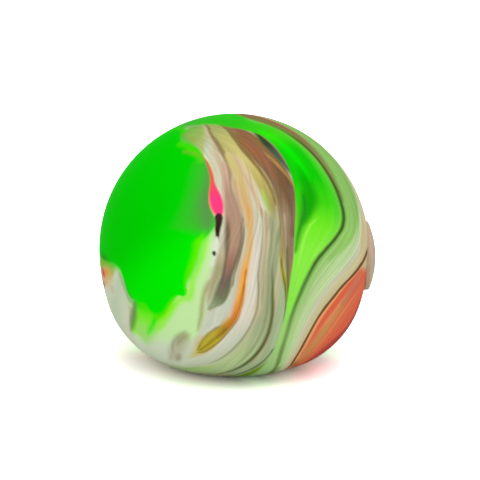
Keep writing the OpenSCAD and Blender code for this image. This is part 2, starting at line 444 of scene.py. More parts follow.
# Streaks laid over the bands, first to last: softness, strength, one colour or colours by around, and a path
# of (around, out, half width)
streaks = dict(
    hazeTop=(3, 1, [(72, "hazePale"), (78, "hazeOlive"), (85, "hazeGreen"), (91, "hazeDeep")],
        [(96, 51, -4), (91, 51, 3), (87, 50.8, 6.6), (83, 50.2, 8), (78, 48.8, 8.2), (72, 45.6, 6),
        (67, 43, 3.6), (62, 41.4, 0)]),
    creamTop=(0.9, 1, [(60, "cream"), (65, "mint"), (72, "oliveCream")],
        [(84, 58, 0), (78, 54.5, 1.2), (72, 48.8, 1.8), (66, 44.2, 1.9), (60, 41.8, 2), (52, 39.4, 1.8),
        (45, 37.4, 1.6), (38, 35.6, 1.1), (32, 34.6, 0.6), (26, 33.8, 0)]),
    tanTop=(0.8, 1, "tan",
        [(76, 52.5, 0), (70, 49.3, 0.4), (62, 45.6, 0.9), (54, 42.6, 1.1), (46, 40.2, 1.1), (38, 37.8, 0.8),
        (30, 36, 0)]),
    yellowTop=(1, 1, [(3, "greyGreen"), (14, "oliveStraw"), (30, "strawDull"), (44, "straw"),
        (56, "yellowTan"), (74, "olivePale")],
        [(84, 60, 0), (76, 58, 2.2), (72, 56, 3.2), (62, 52.2, 3.9), (52, 49.7, 3.9), (46, 50.3, 2.9),
        (38, 51, 2.7), (30, 51.5, 2.7), (22, 52, 2.6), (14, 52.4, 2), (8, 52.6, 1), (2, 52.6, 0)]),
    oliveLine=(0.8, 1, [(36, "mauve"), (46, "mauveOlive"), (58, "oliveGrey")],
        [(83, 59, 0), (79, 57, 0.7), (74, 53.4, 0.9), (70, 51, 1), (65, 48.8, 1.1), (60, 47, 1.1),
        (55, 45.6, 1.1), (50, 44.2, 1.1), (45, 42.8, 1.1), (40, 41.4, 1.1), (34, 39.6, 0.8),
        (28, 38.4, 0)]),
    apricotField=(1.2, 1, "apricotPale",
        [(54, 47, 0), (46, 47, 2), (38, 47, 2.1), (30, 46.9, 2), (24, 46.8, 1.6), (16, 46.8, 1),
        (8, 46.8, 0)]),
    greenGleam=(1, 0.9, "gleam",
        [(24, 50.3, 0), (20, 50.4, 0.9), (16, 50.5, 0.9), (12, 50.8, 0.5), (9, 51, 0)]),
    pinkLine=(0.6, 0.7, "rosyPale",
        [(48, 47, 0), (38, 46, 0.5), (28, 46.2, 0.6), (18, 47.2, 0.4), (10, 48, 0)]),
    whiteVein=(0.8, 1, [(10, "cream"), (-14, "white"), (-48, "white"), (-58, "veinMint")],
        [(14, 45.6, 0), (6, 45.7, 1.2), (0, 45.8, 1.8), (-15, 45.7, 1.7), (-25, 46.4, 1.9), (-35, 49, 2.4),
        (-45, 52, 2.8), (-60, 55.4, 2.7), (-75, 58, 2.6), (-90, 58.5, 3), (-102, 58, 0)]),
    tanBand=(0.8, 1, [(-10, "tan"), (-34, "greyGreen")],
        [(12, 50, 0), (5, 49.6, 0.8), (0, 49.4, 1.2), (-15, 49.4, 1.2), (-26, 51.4, 1.2), (-32, 53.2, 0.8),
        (-38, 55.4, 0)]),
    tanLine=(0.5, 0.8, "smudge",
        [(12, 49.4, 0), (-5, 49.2, 0.2), (-18, 49.8, 0.3), (-28, 52.2, 0.3), (-34, 54.2, 0)]),
    sageWash=(4, 0.85, [(-44, "sagePale"), (-68, "fieldGreen")],
        [(-32, 57, -4), (-44, 60, 2.5), (-56, 62, 4), (-70, 64, 4.6), (-84, 66, 4.6), (-98, 66, 4.6),
        (-112, 64, 3), (-122, 62, -4)]),
    greyBand=(0.8, 1, [(-42, "greyGreen"), (-66, "fieldGreen")],
        [(8, 52.8, 0), (2, 52.5, 1.2), (-4, 52.3, 1.8), (-15, 52.2, 1.8), (-30, 55.4, 1.6), (-45, 61.4, 2),
        (-60, 65.4, 2.4), (-75, 67, 2.6), (-95, 67, 3.4), (-105, 66, 3.6), (-116, 64, 2), (-124, 63, -1)]),
    sageLine=(0.5, 0.8, "sage",
        [(10, 51.2, 0), (-6, 51.3, 0.4), (-20, 52.2, 0.4), (-30, 55.2, 0.5), (-40, 59, 0.6),
        (-52, 62.8, 0.6), (-62, 65.2, 0.4), (-72, 67, -0.5)]),
    lowGleam=(2, 0.75, "fieldLime",
        [(-76, 63.4, -2), (-84, 63.6, 0.8), (-90, 64.2, 1.8), (-95, 65, 1.6), (-101, 66.6, -2)]),
    paleBand=(0.8, 1, "bandPale",
        [(-20, 58.6, 0), (-26, 60.6, 1.2), (-32, 62.6, 2), (-40, 65.4, 2.6), (-50, 69.2, 2.6),
        (-60, 72.6, 2.8), (-80, 76, 3)]),
    greyLine=(0.5, 1, [(0, "smudge"), (-30, "grey"), (-50, "lineSage")],
        [(14, 48, 0), (5, 47.8, 0.2), (-10, 47.5, 0.3), (-20, 48, 0.35), (-25, 49, 0.4), (-30, 50.8, 0.4),
        (-37, 53.4, 0.45), (-45, 55.6, 0.45), (-60, 58.2, 0.45), (-72, 60, 0.3), (-84, 61, -0.5)]),
    mossLine=(0.8, 1, [(-14, "sage"), (-30, "mossGreen"), (-60, "darkMoss"), (-76, "mossGreen")],
        [(4, 55, 0), (-10, 53.2, 0.2), (-20, 53.8, 0.5), (-25, 55.3, 0.6), (-30, 57.3, 0.7),
        (-37, 60.3, 0.8), (-45, 63.6, 0.8), (-52, 65.9, 0.8), (-60, 67.9, 0.9), (-70, 69.6, 0.8),
        (-80, 70.8, 0.5), (-94, 71.8, -0.8)]),
    brownPatch=(0.9, 1, [(70, "oliveGrey"), (58, "patchBrown"), (46, "patchBrown"), (34, "umber"),
        (18, "umber"), (8, "dustBrown"), (-12, "dustBrown"), (-25, "olive")],
        [(77, 62.5, 0), (68, 60.6, 2.4), (60, 59.2, 4.4), (52, 58.5, 5.2), (45, 58.2, 5.4), (38, 58.8, 5.2),
        (30, 59.5, 5), (22, 59.8, 4.8), (15, 59.4, 4.2), (5, 58.8, 3.3), (-5, 58.9, 2.6), (-15, 60.2, 1.8),
        (-22, 61.8, 0.8), (-28, 63.4, 0)]),
    patchTop=(0.7, 1, "oliveBrown",
        [(78, 61.4, 0), (68, 58.4, 0.6), (60, 55.8, 0.7), (52, 53.4, 0.8), (45, 52.8, 0.8), (36, 53, 0.7),
        (28, 53.6, 0.6), (20, 54, 0.3), (14, 54.2, 0)]),
    duskLine=(0.6, 0.8, "oliveGrey",
        [(24, 54.6, 0), (14, 55, 0.5), (4, 55.2, 0.5), (-6, 55.4, 0.4), (-12, 55.8, 0)]),
    redCore=(1, 0.55, "dullRed",
        [(58, 57.2, 0), (52, 56.8, 1.2), (46, 56.7, 1.5), (40, 56.8, 1.3), (34, 57.2, 0.8), (26, 58.2, 0)]),
    roseCore=(0.8, 0.8, "roseBrown",
        [(66, 61.2, 0), (54, 59.2, 0.6), (46, 58.4, 0.7), (38, 58.8, 0.6), (30, 59.8, 0.3), (22, 60.4, 0)]),
    darkHeart=(1.4, 0.85, "umberDark",
        [(40, 60.8, 0), (34, 60.4, 1.4), (28, 60.5, 2.4), (22, 60.8, 2.4), (16, 60.8, 1.4), (6, 60.6, 0.4),
        (-2, 60.4, 0)]),
    dustLine=(0.5, 0.5, "mauveGrey",
        [(24, 62, 0), (12, 60.9, 0.4), (4, 60.2, 0.4), (-6, 60, 0.2), (-12, 60.4, 0)]),
    paleStripe=(0.5, 0.4, "tan", [(10, 57.4, 0), (2, 57.4, 0.3), (-14, 58.8, 0.2), (-22, 61, 0)]),
    oliveVein=(0.5, 1, [(-8, "olive"), (-20, "acid")],
        [(0, 56, 0), (-6, 56.1, 0.4), (-10, 56.4, 0.7), (-16, 57.4, 0.8), (-21, 59.4, 0.9),
        (-26, 61.8, 0.7), (-31, 64.6, 0.4), (-35, 66, 0)]),
    oliveTwin=(0.5, 0.9, "mossGreen",
        [(-6, 58.4, 0), (-12, 59, 0.4), (-18, 60.2, 0.5), (-24, 62, 0.5), (-30, 64.4, 0.3),
        (-34, 65.8, 0)]),
    greenVein=(0.5, 1, "mossGreen",
        [(-12, 56.4, 0), (-18, 58, 0.2), (-24, 60.6, 0.4), (-30, 63.4, 0.4), (-36, 65.8, 0.3),
        (-41, 67.6, 0)]),
    amberLine=(0.7, 0.85, "amber",
        [(46, 60, -0.6), (41, 60.5, 0.4), (37, 61.2, 0.6), (31, 62.6, 0.6), (25, 64.2, 0.4),
        (20, 65.2, 0)]),
    darkSliver=(1.1, 1, [(40, "sliverGrey"), (48, "inkGreen"), (56, "sliverOlive")],
        [(60, 65.8, 0), (55, 65.2, 1.2), (50, 64.6, 1.8), (45, 64.5, 2), (40, 64.6, 1.9), (35, 65, 1.3),
        (29, 65.6, 0)]),
    tipHaze=(1, 0.9, "sage",
        [(-30, 37.6, 0), (-36, 38, 2.8), (-42, 38.7, 3.2), (-48, 39.2, 2.6), (-54, 39, 1.2),
        (-58, 38.8, 0)]),
    brownVein=(1.1, 1, [(42, "rosyPale"), (26, "mauve"), (14, "mauve"), (3, "umberPale"),
        (-22, "umberPale"), (-36, "greyBrown"), (-46, "veinSage"), (-53, "veinPale")],
        [(50, 42.5, 0), (42, 39.8, 0.9), (34, 37.8, 1.5), (26, 36.9, 2.4), (15, 36.3, 3.3), (5, 36, 3.6),
        (-5, 36, 3.7), (-15, 36, 3.4), (-25, 36.2, 2.9), (-32, 36.9, 2.6), (-38, 37.8, 2.7), (-45, 39, 2.9),
        (-50, 39.4, 2.2), (-54, 39, 0.9), (-56.5, 38.7, 0)]),
    veinShade=(1.2, 0.9, [(-16, "tan"), (-28, "smudgeOlive")],
        [(-10, 31.6, -1), (-18, 31.9, 1.1), (-25, 32.2, 1.5), (-32, 32.8, 1.6), (-40, 33.5, 1.4),
        (-46, 34.8, 0.9), (-52, 36, 0.5), (-57, 37.4, -1)]),
    mauveCore=(0.9, 1, [(10, "mauve"), (-10, "mauve"), (-20, "rosyBrown"), (-34, "mauveGrey")],
        [(26, 36.9, 0.6), (20, 36.6, 1.6), (14, 36.4, 2.1), (5, 36.6, 2.3), (-5, 36.5, 2.2),
        (-15, 36.2, 1.9), (-25, 36.3, 1.4), (-33, 36.8, 0.8), (-40, 37.4, 0.3), (-46, 38, 0)]),
    creamLine=(0.6, 1, [(-30, "cream"), (-48, "veinMint")],
        [(20, 40.8, 0), (12, 40.8, 0.3), (0, 40.8, 0.5), (-15, 40.4, 0.6), (-30, 41, 0.8), (-40, 42.4, 1.2),
        (-48, 43.4, 1.8), (-54, 43.2, 2.8), (-64, 44.2, 3), (-74, 46, 0)]),
    greyThread=(0.4, 0.7, "umberPale",
        [(10, 39.9, 0), (4, 39.9, 0.2), (-4, 39.9, 0.3), (-15, 39.4, 0.3), (-28, 39.6, 0.2),
        (-36, 40.8, 0)]),
    tanUnder=(0.9, 1, "tanWarm",
        [(40, 41.8, -1), (33, 41.2, 1), (25, 40.8, 1.4), (15, 40.6, 1), (8, 40.6, 0.4), (2, 40.6, 0)]),
    hookGlow=(1.4, 1, "honey",
        [(-52, 48, 0), (-60, 49.4, 2), (-68, 50, 3), (-76, 51.5, 2.8), (-83, 53.2, 1.4), (-89, 55, 0)]),
    orangeVein=(1.2, 1, [(46, "straw"), (28, "strawWarm"), (18, "veinTan"), (12, "orangePale"),
        (0, "apricot"), (-12, "apricot"), (-24, "orange"), (-36, "orange"), (-50, "burntOrange"),
        (-60, "mustardBrown"), (-67, "mustard")],
        [(54, 46.4, 0), (45, 45, 1.8), (37, 44, 1.7), (30, 43.2, 1.6), (22, 42.8, 1.4), (15, 42.6, 1.2),
        (0, 42.6, 1), (-12, 42.6, 1.2), (-22, 42.7, 1.4), (-30, 43.8, 1.6), (-38, 45.6, 1.7),
        (-45, 47.3, 1.8), (-52, 49, 1.7), (-60, 49.4, 2), (-68, 49.9, 2.6), (-75, 51, 2),
        (-81, 52.5, 0.3)]),
    amberCore=(0.6, 0.8, [(-26, "rust"), (-48, "rust"), (-62, "mustardBrown")],
        [(-22, 43.2, 0), (-28, 43.9, 0.3), (-34, 45.2, 0.4), (-42, 47.2, 0.4), (-50, 49.2, 0.4),
        (-58, 50.2, 0.4), (-66, 50.4, 0)]),
    hookUpper=(0.6, 0.6, "oliveDark",
        [(-60, 47, 0), (-66, 47, 0.35), (-72, 48, 0.4), (-77, 50, 0.35), (-80.5, 51.8, 0)]),
    hookShine=(0.6, 0.9, "hookYellow",
        [(-58, 48.4, -0.5), (-64, 48.3, 0.4), (-70, 48.8, 0.6), (-75, 50, 0.5), (-78.5, 51.2, -0.5)]),
    hookLine=(0.6, 0.6, "oliveDark",
        [(-57, 49.8, 0), (-63, 50, 0.3), (-70, 50.6, 0.4), (-76, 51.7, 0.3), (-79.5, 52.4, 0)]),
    hookLower=(0.5, 0.7, [(-30, "rust"), (-60, "oliveDark")],
        [(-30, 44.6, 0), (-38, 46.8, 0.2), (-48, 49.8, 0.25), (-58, 51.4, 0.3), (-66, 52.4, 0.35),
        (-73, 53.2, 0.4), (-79, 53.6, 0.3), (-82, 53, 0)]),
    greenWash=(2.4, 1, [(14, "washGreen"), (2, "leafGreen")],
        [(82, 92, 0), (75, 91, 2.6), (62, 91.5, 6), (50, 93.5, 8), (40, 95.5, 9), (30, 97, 9),
        (20, 97.6, 8.2), (10, 96, 6.6), (2, 91.6, 5), (-4, 86, 3), (-11, 79.4, 0)]),
    mistLine=(1, 0.4, "mist",
        [(8, 106.5, 0), (0, 101.4, 0.8), (-5, 97.2, 0.9), (-10, 92.4, 0.9), (-15, 87.3, 0.8),
        (-20, 83, 0.8), (-26, 80.2, 0.6), (-34, 78.8, 0.4), (-44, 79.4, 0)]),
    strawLine=(1, 0.8, "strawPale",
        [(6, 112, 0), (-2, 106.5, 1.5), (-8, 100, 1.5), (-13, 94, 1.4), (-18, 88.4, 1.2), (-24, 84, 1),
        (-31, 81.5, 0.8), (-40, 80.8, 0.6), (-50, 82.4, 0)]),
    rosyEdge=(3, 0.95, [(40, "edgeOlive"), (56, "rosyDull")],
        [(104, 88, -3), (95, 85, -0.5), (86, 81.6, 1.8), (78, 79.5, 4), (72, 78.4, 5.2), (64, 79.6, 5.4),
        (56, 81.8, 4.8), (48, 84.6, 3.8), (40, 86.8, 2.6), (32, 88.5, 1.4), (24, 89.6, 0.6),
        (16, 90.2, 0)]),
    rosyStreak=(1.6, 0.85, "rosyStreak",
        [(78, 79.8, -1), (71, 80.6, 0.6), (64, 82, 1), (56, 84, 1), (50, 85.8, 0.5), (44, 87.4, -1)]),
    edgeMoss=(1.3, 0.9, "edgeMoss",
        [(72, 75.4, -1), (64, 77.6, 0.8), (58, 79.6, 1), (52, 81.6, 0.9), (44, 84.4, -1)]),
    seatSand=(2.5, 0.9, "sandLight",
        [(12, 108, 0), (6, 108, 4), (-2, 107.5, 5), (-8, 107.5, 4), (-13, 107, 0)]),
    pinkGlow=(2, 0.8, "rosyPale", [(82, 86, 0), (76, 85.6, 2.4), (71, 86.4, 2), (64, 88.5, 0)]),
    oliveSliver=(1.1, 1, "sliverGreen",
        [(-59, 75.6, 0), (-64, 76.4, 0.8), (-69, 77.6, 1.8), (-75, 79, 2.2), (-83, 81, 1.4), (-92, 83, 0)]),
    sliverEdge=(0.7, 1, "darkMoss",
        [(-53, 72, 0), (-58, 73, 0.3), (-64, 74.2, 0.5), (-72, 75, 0.5), (-82, 76.4, 0.4), (-92, 78, 0)]),
    # Painted shade: darker grey olive low on the ball, close to where it rests on the floor
    footShade=(3, 0.7, "footOlive",
        [(-60, 85, -3), (-65, 86, 1.5), (-72, 87, 5), (-80, 88, 7), (-92, 92, 5), (-102, 94, -3)]),
)

# Smooth patches over those, without threads in them
patches = dict(
    paleField=(1.6, 1, [(4, "limePale"), (-10, "paleGreen")],
        [(7, 28.2, 0), (2, 27.8, 0.8), (-4, 27.2, 1.4), (-10, 27.2, 2), (-25, 27.5, 2.4), (-40, 28, 3.2),
        (-50, 29, 5), (-60, 32, 7), (-72, 35.5, 9), (-85, 40, 9.5), (-98, 46, 10), (-112, 50, 10),
        (-122, 54, 4)]),
    paleGlow=(5, 1, "paleWhite",
        [(-78, 48, -2), (-86, 50, 4), (-96, 53, 7), (-108, 56, 9), (-118, 58, 8), (-126, 60, 2)]),
    limeField=(1.6, 1, "lime",
        [(4, 26, -2), (-6, 25.2, 0.8), (-15, 24.8, 1.2), (-28, 25.2, 1.2), (-40, 25.8, 1), (-50, 26.8, 1.3),
        (-58, 29.2, 1.8), (-64, 30.2, 1.6), (-68, 29.2, 1.6), (-78, 30.4, 1.9), (-88, 34, 2.2),
        (-97, 37.5, 3), (-105, 38.4, 4.6), (-113, 40, 6), (-119, 43, 4.6), (-126, 50, 0)]),
    edgeLime=(1.6, 1, "edgeLime",
        [(-74, 29.2, -1), (-80, 30.4, 0.9), (-86, 32, 1.4), (-92, 33.4, 1.6), (-98, 35, 1.2),
        (-105, 38, -1)]),
    tanSmudge=(1.5, 0.85, "smudgeOlive",
        [(-38, 31.4, -1), (-42, 32, 0.8), (-52, 33.6, 1), (-60, 37, 1.1), (-66, 40.2, 1), (-70, 42.4, 0.6),
        (-74, 44, -1)]),
    brownSmudge=(3, 0.5, "smudgeGrey",
        [(-76, 44, -2), (-82, 45.6, 2), (-88, 48, 3.4), (-94, 51.4, 4), (-99, 55, 2.6), (-104, 59, -2)]),
    smudgeEdge=(2.2, 0.6, "smudgeDark",
        [(-78, 42, -1.4), (-83, 43, 0.3), (-87, 44, 0.6), (-91, 46.2, 0.7), (-94, 49, 0.4),
        (-97, 53, -1.4)]),
    smudgeBlot=(2.2, 0.7, "blot",
        [(-78, 43.6, -1), (-80.5, 44, 0.8), (-84, 44.8, 1.1), (-88, 46.4, 0.9), (-91, 48.4, -1)]),
    darkBlot=(2, 0.6, "blot", [(-90, 52, -2), (-93, 54, 1.2), (-96, 56.2, 1.4), (-99, 58.4, -2)]),
    topGreen=(3, 1, "ribbonGreen",
        [(135, 66, 3), (115, 61, 6), (104, 58, 8), (97, 54, 8), (93, 53, 5), (90, 53, 1.5), (86, 54, -3)]),
    creamPatch=(2.5, 1, [(-126, "patchCream"), (-141, "mint"), (-150, "patchCream")],
        [(-121.5, 52, 0), (-124, 52, 10), (-127, 49.8, 16), (-132, 48.6, 18.4), (-138, 47.8, 19.6),
        (-145, 47.4, 20), (-150, 48, 20.4), (-153, 50, 17), (-156, 54, 8), (-158.5, 58, -2)]),
    patchBlush=(2, 0.6, "patchTan", [(-142, 38, -2), (-145, 38, 1.5), (-149, 38.4, 1.5), (-152, 39, -2)]),
    patchRim=(1.8, 0.6, "shadeGreen",
        [(-118, 31.5, -1), (-125, 32, 1), (-132, 29.4, 1), (-140, 27.4, 0.7), (-150, 26.4, -1)]),
    flame=(0.6, 1, [(66, "honey"), (57, "copper"), (48, "redOrange"), (36, "coralPink"), (28, "hotPink"),
        (14, "hotPink")],
        [(72, 41, 0), (62, 38.9, 0.4), (52, 36.5, 0.8), (45, 34.5, 1.1), (38, 32.3, 1.6), (33, 31.4, 2.2),
        (28, 30.9, 2.7), (22, 30.6, 2.8), (17, 30.6, 2.2), (14, 30.8, 1.4), (11.5, 31, 0)]),
    flameEdge=(0.9, 1, [(20, "salmon"), (42, "copper"), (54, "leafBrown")],
        [(68, 39.6, 0), (60, 37.9, 0.3), (52, 35.6, 0.4), (45, 33.4, 0.5), (38, 30.7, 0.5), (31, 28.6, 0.5),
        (24, 27.8, 0.5), (17, 28.3, 0.3), (13, 29.2, 0)]),
    blackWedge=(0.6, 1, [(14, "darkPlum"), (2, "blackBrown")],
        [(15.5, 30.4, 0), (12.5, 30.2, 1.6), (8, 29.9, 1.6), (3, 29.5, 1.2), (-2, 29.4, 0.8),
        (-5, 29.5, 0.5), (-7.5, 29.8, 0)]),
    whiteGap=(0.7, 1, "coolWhite",
        [(-4, 29.2, 0), (-8, 29.2, 0.9), (-14, 29.2, 1), (-22, 29.4, 0.5), (-30, 29.6, 0)]),
    speck=(0.6, 1, "inkGreen", [(-16, 29, 0), (-17.2, 29, 0.7), (-18.8, 29.1, 0.7), (-20.4, 29.3, 0)]),
)

# Patches that run across the flow: the path is (out, around, half width), and the colours go by out
crossPatches = dict(
    limeFan=(5, 1, [(31, "dripGreen"), (36, "limePool"), (45, "limeSoft")],
        [(53, -113, -4), (47, -112, 5), (42, -110, 8), (37, -108, 10.5), (33, -106, 13), (30, -105, 14),
        (27, -104, 6)]),
    limeDrip=(2.8, 1, "dripGreen",
        [(46, -110, -2), (43, -107.5, 0.8), (39, -103.5, 1.6), (35, -99, 2.2), (32, -94, 2.6),
        (29.5, -87, 1)]),
    patchShade=(2.5, 0.75, "patchShade",
        [(50, -124.5, -1), (45, -122.3, 2), (40, -120.6, 3), (35, -119.3, 2.8), (31, -118.4, 1.4),
        (28, -118, -2)]),
    spotHaze=(5, 0.95, [(26, "hazeLime"), (33, "glowOlive"), (44, "glowOlive")],
        [(54, -170, 2), (47, -169, 5), (40, -167, 6.5), (34, -163, 6.5), (29, -158, 4.5), (25, -153, 0),
        (22, -151, -4)]),
    spotGlow=(4.5, 0.9, [(29, "olivePale"), (34, "honey"), (40, "patchPeach")],
        [(52, -163, -2), (46, -160.5, 4), (40, -158, 6), (35, -156.5, 5.4), (31, -155.5, 2.5),
        (28, -154.5, -3)]),
    spot=(2.2, 1, [(35, "emberOrange"), (40, "emberOrange"), (43, "terracotta"), (47, "emberPink")],
        [(53, -167, -1), (49, -165.8, 2), (45, -163.6, 2.8), (41, -161.4, 2.8), (38, -160, 2.4),
        (35, -159, 0.8), (33, -158.4, -2)]),
)

# Streaks inside the pool, the ribbon and the red leaf
poolStreaks = dict(
    shade=(9, 0.9, "poolShade",
        [(66, 36, -3), (48, 29, 4), (38, 25.2, 5.5), (28, 23.2, 6.8), (18, 22, 7.4), (8, 21.8, 6.2),
        (0, 22, 1.4), (-8, 22.4, -7)]),
    shadeCore=(5, 0.9, "shadeGreen",
        [(60, 37.5, -3), (52, 35, 0.5), (45, 32.4, 1.6), (38, 29.4, 2.2), (30, 27.2, 2.8), (22, 26.4, 3),
        (15, 26, 3), (8, 25.6, 2.4), (3, 25.4, 0.8), (-2, 25.2, -2), (-5, 25, -5)]),
    fringe=(2, 1, "yellowGreen",
        [(2, 23.8, -2), (-4, 23.2, 0.4), (-10, 23, 2.4), (-25, 23.6, 2.8), (-42, 24.6, 2.6), (-54, 26, 1.8),
        (-60, 27.6, 1), (-64, 28.6, -1)]),
    topGlow=(2.5, 0.5, "yellowGreen",
        [(88, 43.5, 0), (80, 42, 1), (72, 40, 1.2), (66, 38.6, 0.8), (60, 37, 0)]),
    topOchre=(1.4, 0.5, "olive",
        [(80, 38.8, 0), (74, 38.6, 0.5), (68, 38.9, 0.7), (63, 38.4, 0.3), (58, 37.4, 0)]),
    lowFringe=(1.4, 0.9, "yellowGreen",
        [(-66, 29.6, 0), (-74, 29, 1.6), (-84, 31.6, 1.9), (-93, 35, 2), (-100, 35.5, 2.5), (-108, 32, 2),
        (-118, 31.6, -1)]),
    edgeShade=(2.5, 0.7, "edgeShade",
        [(-110, 31.5, -2), (-118, 32, 1.2), (-124, 31.6, 2), (-132, 29.2, 1.6), (-140, 27, 1),
        (-148, 26, -2)]),
    dusk=(5, 0.8, "dusk", [(-160, 30, -5), (-165, 33, 0), (-170, 37, 2.5), (-174, 40, 1), (-178, 42, -5)]),
)
poolBlur = [(-180, 2), (-172, 3), (-165, 3), (-150, 2.2), (-128, 1), (-112, 3), (-102, 2.6), (-95, 1.4),
    (-88, 0.8), (-75, 0.8), (-60, 0.8), (-52, 1.5), (-40, 1.9), (-15, 1.9), (0, 1.2), (10, 0.6), (50, 0.6),
    (62, 0.9), (72, 1.4), (85, 2.2), (96, 3), (130, 2), (180, 2)]
ribbonColours = [(180, "limeMid"), (150, "ribbonGreen"), (110, "neonGreen"), (96, "limbGreen"),
    (84, "limbHaze"), (68, "limbHaze"), (52, "ribbonGreen"), (42, "ribbonDeep"), (26, "ribbonDeep"),
    (14, "ribbonGreen"), (4, "ribbonLime"), (-6, "limeMid"), (-20, "limeLow"), (-32, "limeLow"),
    (-44, "ribbonPale"), (-60, "leafPale"), (-80, "leafPale"), (-110, "lime"), (-180, "limeMid")]
# Half width of the dark line outside the ribbon
ribbonRim = [(-180, 0.6), (-90, 0.8), (-60, 0.8), (-45, 0.5), (-25, 0.6), (-10, 0.9), (5, 1.1), (20, 1.1),
    (40, 1), (55, 0.8), (70, 0), (85, -0.9), (110, -0.4), (180, 0.6)]
ribbonRimColours = [(150, "mossGreen"), (110, "rosyDull"), (64, "rosyDull"), (56, "edgeMoss"),
    (46, "rimBrown"), (28, "rimBrown"), (18, "rimGreen"), (-6, "rimGreen"), (-20, "darkGreen"),
    (-30, "darkGreen"), (-44, "rimSage"), (-64, "rimSage"), (-74, "mossGreen")]
ribbonBlur = [(-180, 0.8), (-70, 1), (-50, 0.8), (-30, 0.5), (50, 0.5), (65, 0.9), (75, 1.6), (90, 3),
    (110, 3), (140, 1), (180, 0.8)]
ribbonStreaks = dict(
    glare=(2.5, 0.7, "brightGreen",
        [(58, 69, 0), (48, 71, 1.5), (38, 72, 2), (31, 72.5, 1.4), (24, 72.6, 0)]),
    outerHaze=(2.5, 0.8, [(10, "outerGreen"), (-10, "lime")],
        [(70, 72, 0), (55, 77, 1.5), (40, 81.5, 2.2), (28, 83.5, 2.4), (16, 85.4, 2.2), (6, 83, 2),
        (-2, 76.5, 1), (-10, 71.5, 0)]),
    edgeHaze=(1.4, 0.4, "leafGreen",
        [(72, 73.5, 0), (55, 78, 0.5), (40, 82.6, 0.8), (28, 85, 0.9), (14, 87.2, 1), (6, 85.4, 0.9),
        (0, 81, 0.7), (-6, 75.4, 0.4), (-14, 70.6, 0)]),
    fold=(2.5, 0.85, "foldDeep",
        [(20, 67.6, -1), (15, 67.6, 1.6), (11, 67, 2.8), (7.5, 65.8, 2.8), (4, 64.4, 2), (0, 63.2, 1.4),
        (-5, 62.5, 0.7), (-9, 62.2, -1)]),
    foldShade=(3, 0.85, "foldShade",
        [(36, 71, -3), (28, 71, 1), (21, 71, 3), (16, 70.6, 3.8), (12, 69.6, 3.2), (9, 68.2, 2.2),
        (6, 66.4, 1), (3, 65, -2)]),
    foldLine=(0.9, 0.8, "foldGreen",
        [(18, 67.8, 0), (12, 67.2, 0.6), (8, 65.9, 0.7), (4, 64.2, 0.7), (0, 62.8, 0.5), (-5, 62.2, 0.2),
        (-9, 62, 0)]),
    rimLight=(0.9, 0.8, "lime",
        [(9, 74.6, -0.8), (6, 71, 0.3), (3, 68, 0.5), (-2, 65.9, 0.5), (-10, 64.6, 0.4),
        (-18, 64.8, -0.8)]),
)
# Half width of the leaf's dark outline
leafLine = [(-180, 0.6), (-60, 0.5), (-40, 0.6), (-25, 0.8), (-15, 1.3), (-8, 1.8), (0, 2), (180, 0.6)]
leafBands = [(0.2, "darkBrown"), (0.6, "darkBrown"), (1, "peach"), (1.8, "peach"), (2.8, "redOrange"),
    (5.5, "redOrange"), (8, "copper"), (12, "redOrange"), (26, "redOrange"), (34, "crimson")]
leafStreaks = dict(
    tanHeart=(2.6, 0.85, [(-20, "rosyTan"), (-32, "heartTan")],
        [(-15, 108, 0), (-20, 102.6, 1.2), (-25, 98, 1.6), (-31, 94, 2), (-38, 90.8, 2.4), (-46, 89.6, 2.6),
        (-53, 90, 2), (-61, 93, 0)]),
    heartLine=(1.3, 0.6, "peach",
        [(-18, 109, -1), (-26, 101.6, 0.5), (-33, 97.2, 0.6), (-42, 94.4, 0.5), (-52, 94, -1)]),
    peachStreak=(1.2, 0.6, "peach",
        [(-20, 100, -1), (-24, 96, 0.7), (-30, 92, 0.8), (-36, 89, 0.7), (-42, 87.6, -1)]),
    # Painted shade: the red leaf turns darker and browner towards its lower right, near the ball's edge
    leafShadeSide=(3, 0.7, "leafBrown",
        [(-54, 90, -3), (-58, 91, 1), (-62, 94, 4), (-66, 98, 6), (-70, 102, 6)]),
    glow=(1.6, 0.8, "copper",
        [(-17, 113, 0), (-24, 107, 1.4), (-32, 101, 1.6), (-40, 97, 1.4), (-48, 95.4, 1), (-56, 96.4, 0)]),
    blush=(2, 0.9, "rosyRed", [(-12, 104, 0), (-15, 103, 2), (-19, 101, 2.4), (-23, 98, 1), (-27, 95, 0)]),
    crimsonSide=(4, 0.9, "crimson",
        [(-34, 116, 0), (-42, 109, 4), (-50, 105.5, 5.5), (-58, 104, 4), (-64, 104, 2)]),
)


# The pool's axes: out of its middle, then to its right and upwards, both turned by its tilt
def poolFrame():
    side, rise, tilt = (np.radians(skin["pool"][key]) for key in ("azimuth", "elevation", "tilt"))
    middle = np.array([np.sin(side) * np.cos(rise), -np.cos(side) * np.cos(rise), np.sin(rise)])
    level = np.array([np.cos(side), np.sin(side), 0])
    steep = np.cross(middle, level)
    steep = steep if steep[2] > 0 else -steep
    right = np.cos(tilt) * level + np.sin(tilt) * steep
    up = np.cos(tilt) * steep - np.sin(tilt) * level
    return middle, right, up


# How much of a streak covers a point: 1 where out lies within the path's half width, eased to 0 beyond it
def cover(finish, around, out, softness, path):
    first, last = path[0], path[-1]
    nothing = -2 * softness
    end = skin["streakEnd"]
    points = [(first[0] + end, first[1], nothing), *path, (last[0] - end, last[1], nothing)]
    middle = finish.curve(around, [(a, o) for a, o, h in points])
    half = finish.curve(around, [(a, h) for a, o, h in points])
    return finish.ease(half - abs(out - middle), -softness, softness)


def lay(finish, colour, group, around, out):
    for softness, strength, colours, path in group.values():
        plain = isinstance(colours, str)
        shade = pigment(colours) if plain else finish.ramp(around, sorted(colours))
        share = cover(finish, around, out, softness, path)
        colour = finish.mix(colour, shade, share if strength == 1 else share * strength)
    return colour


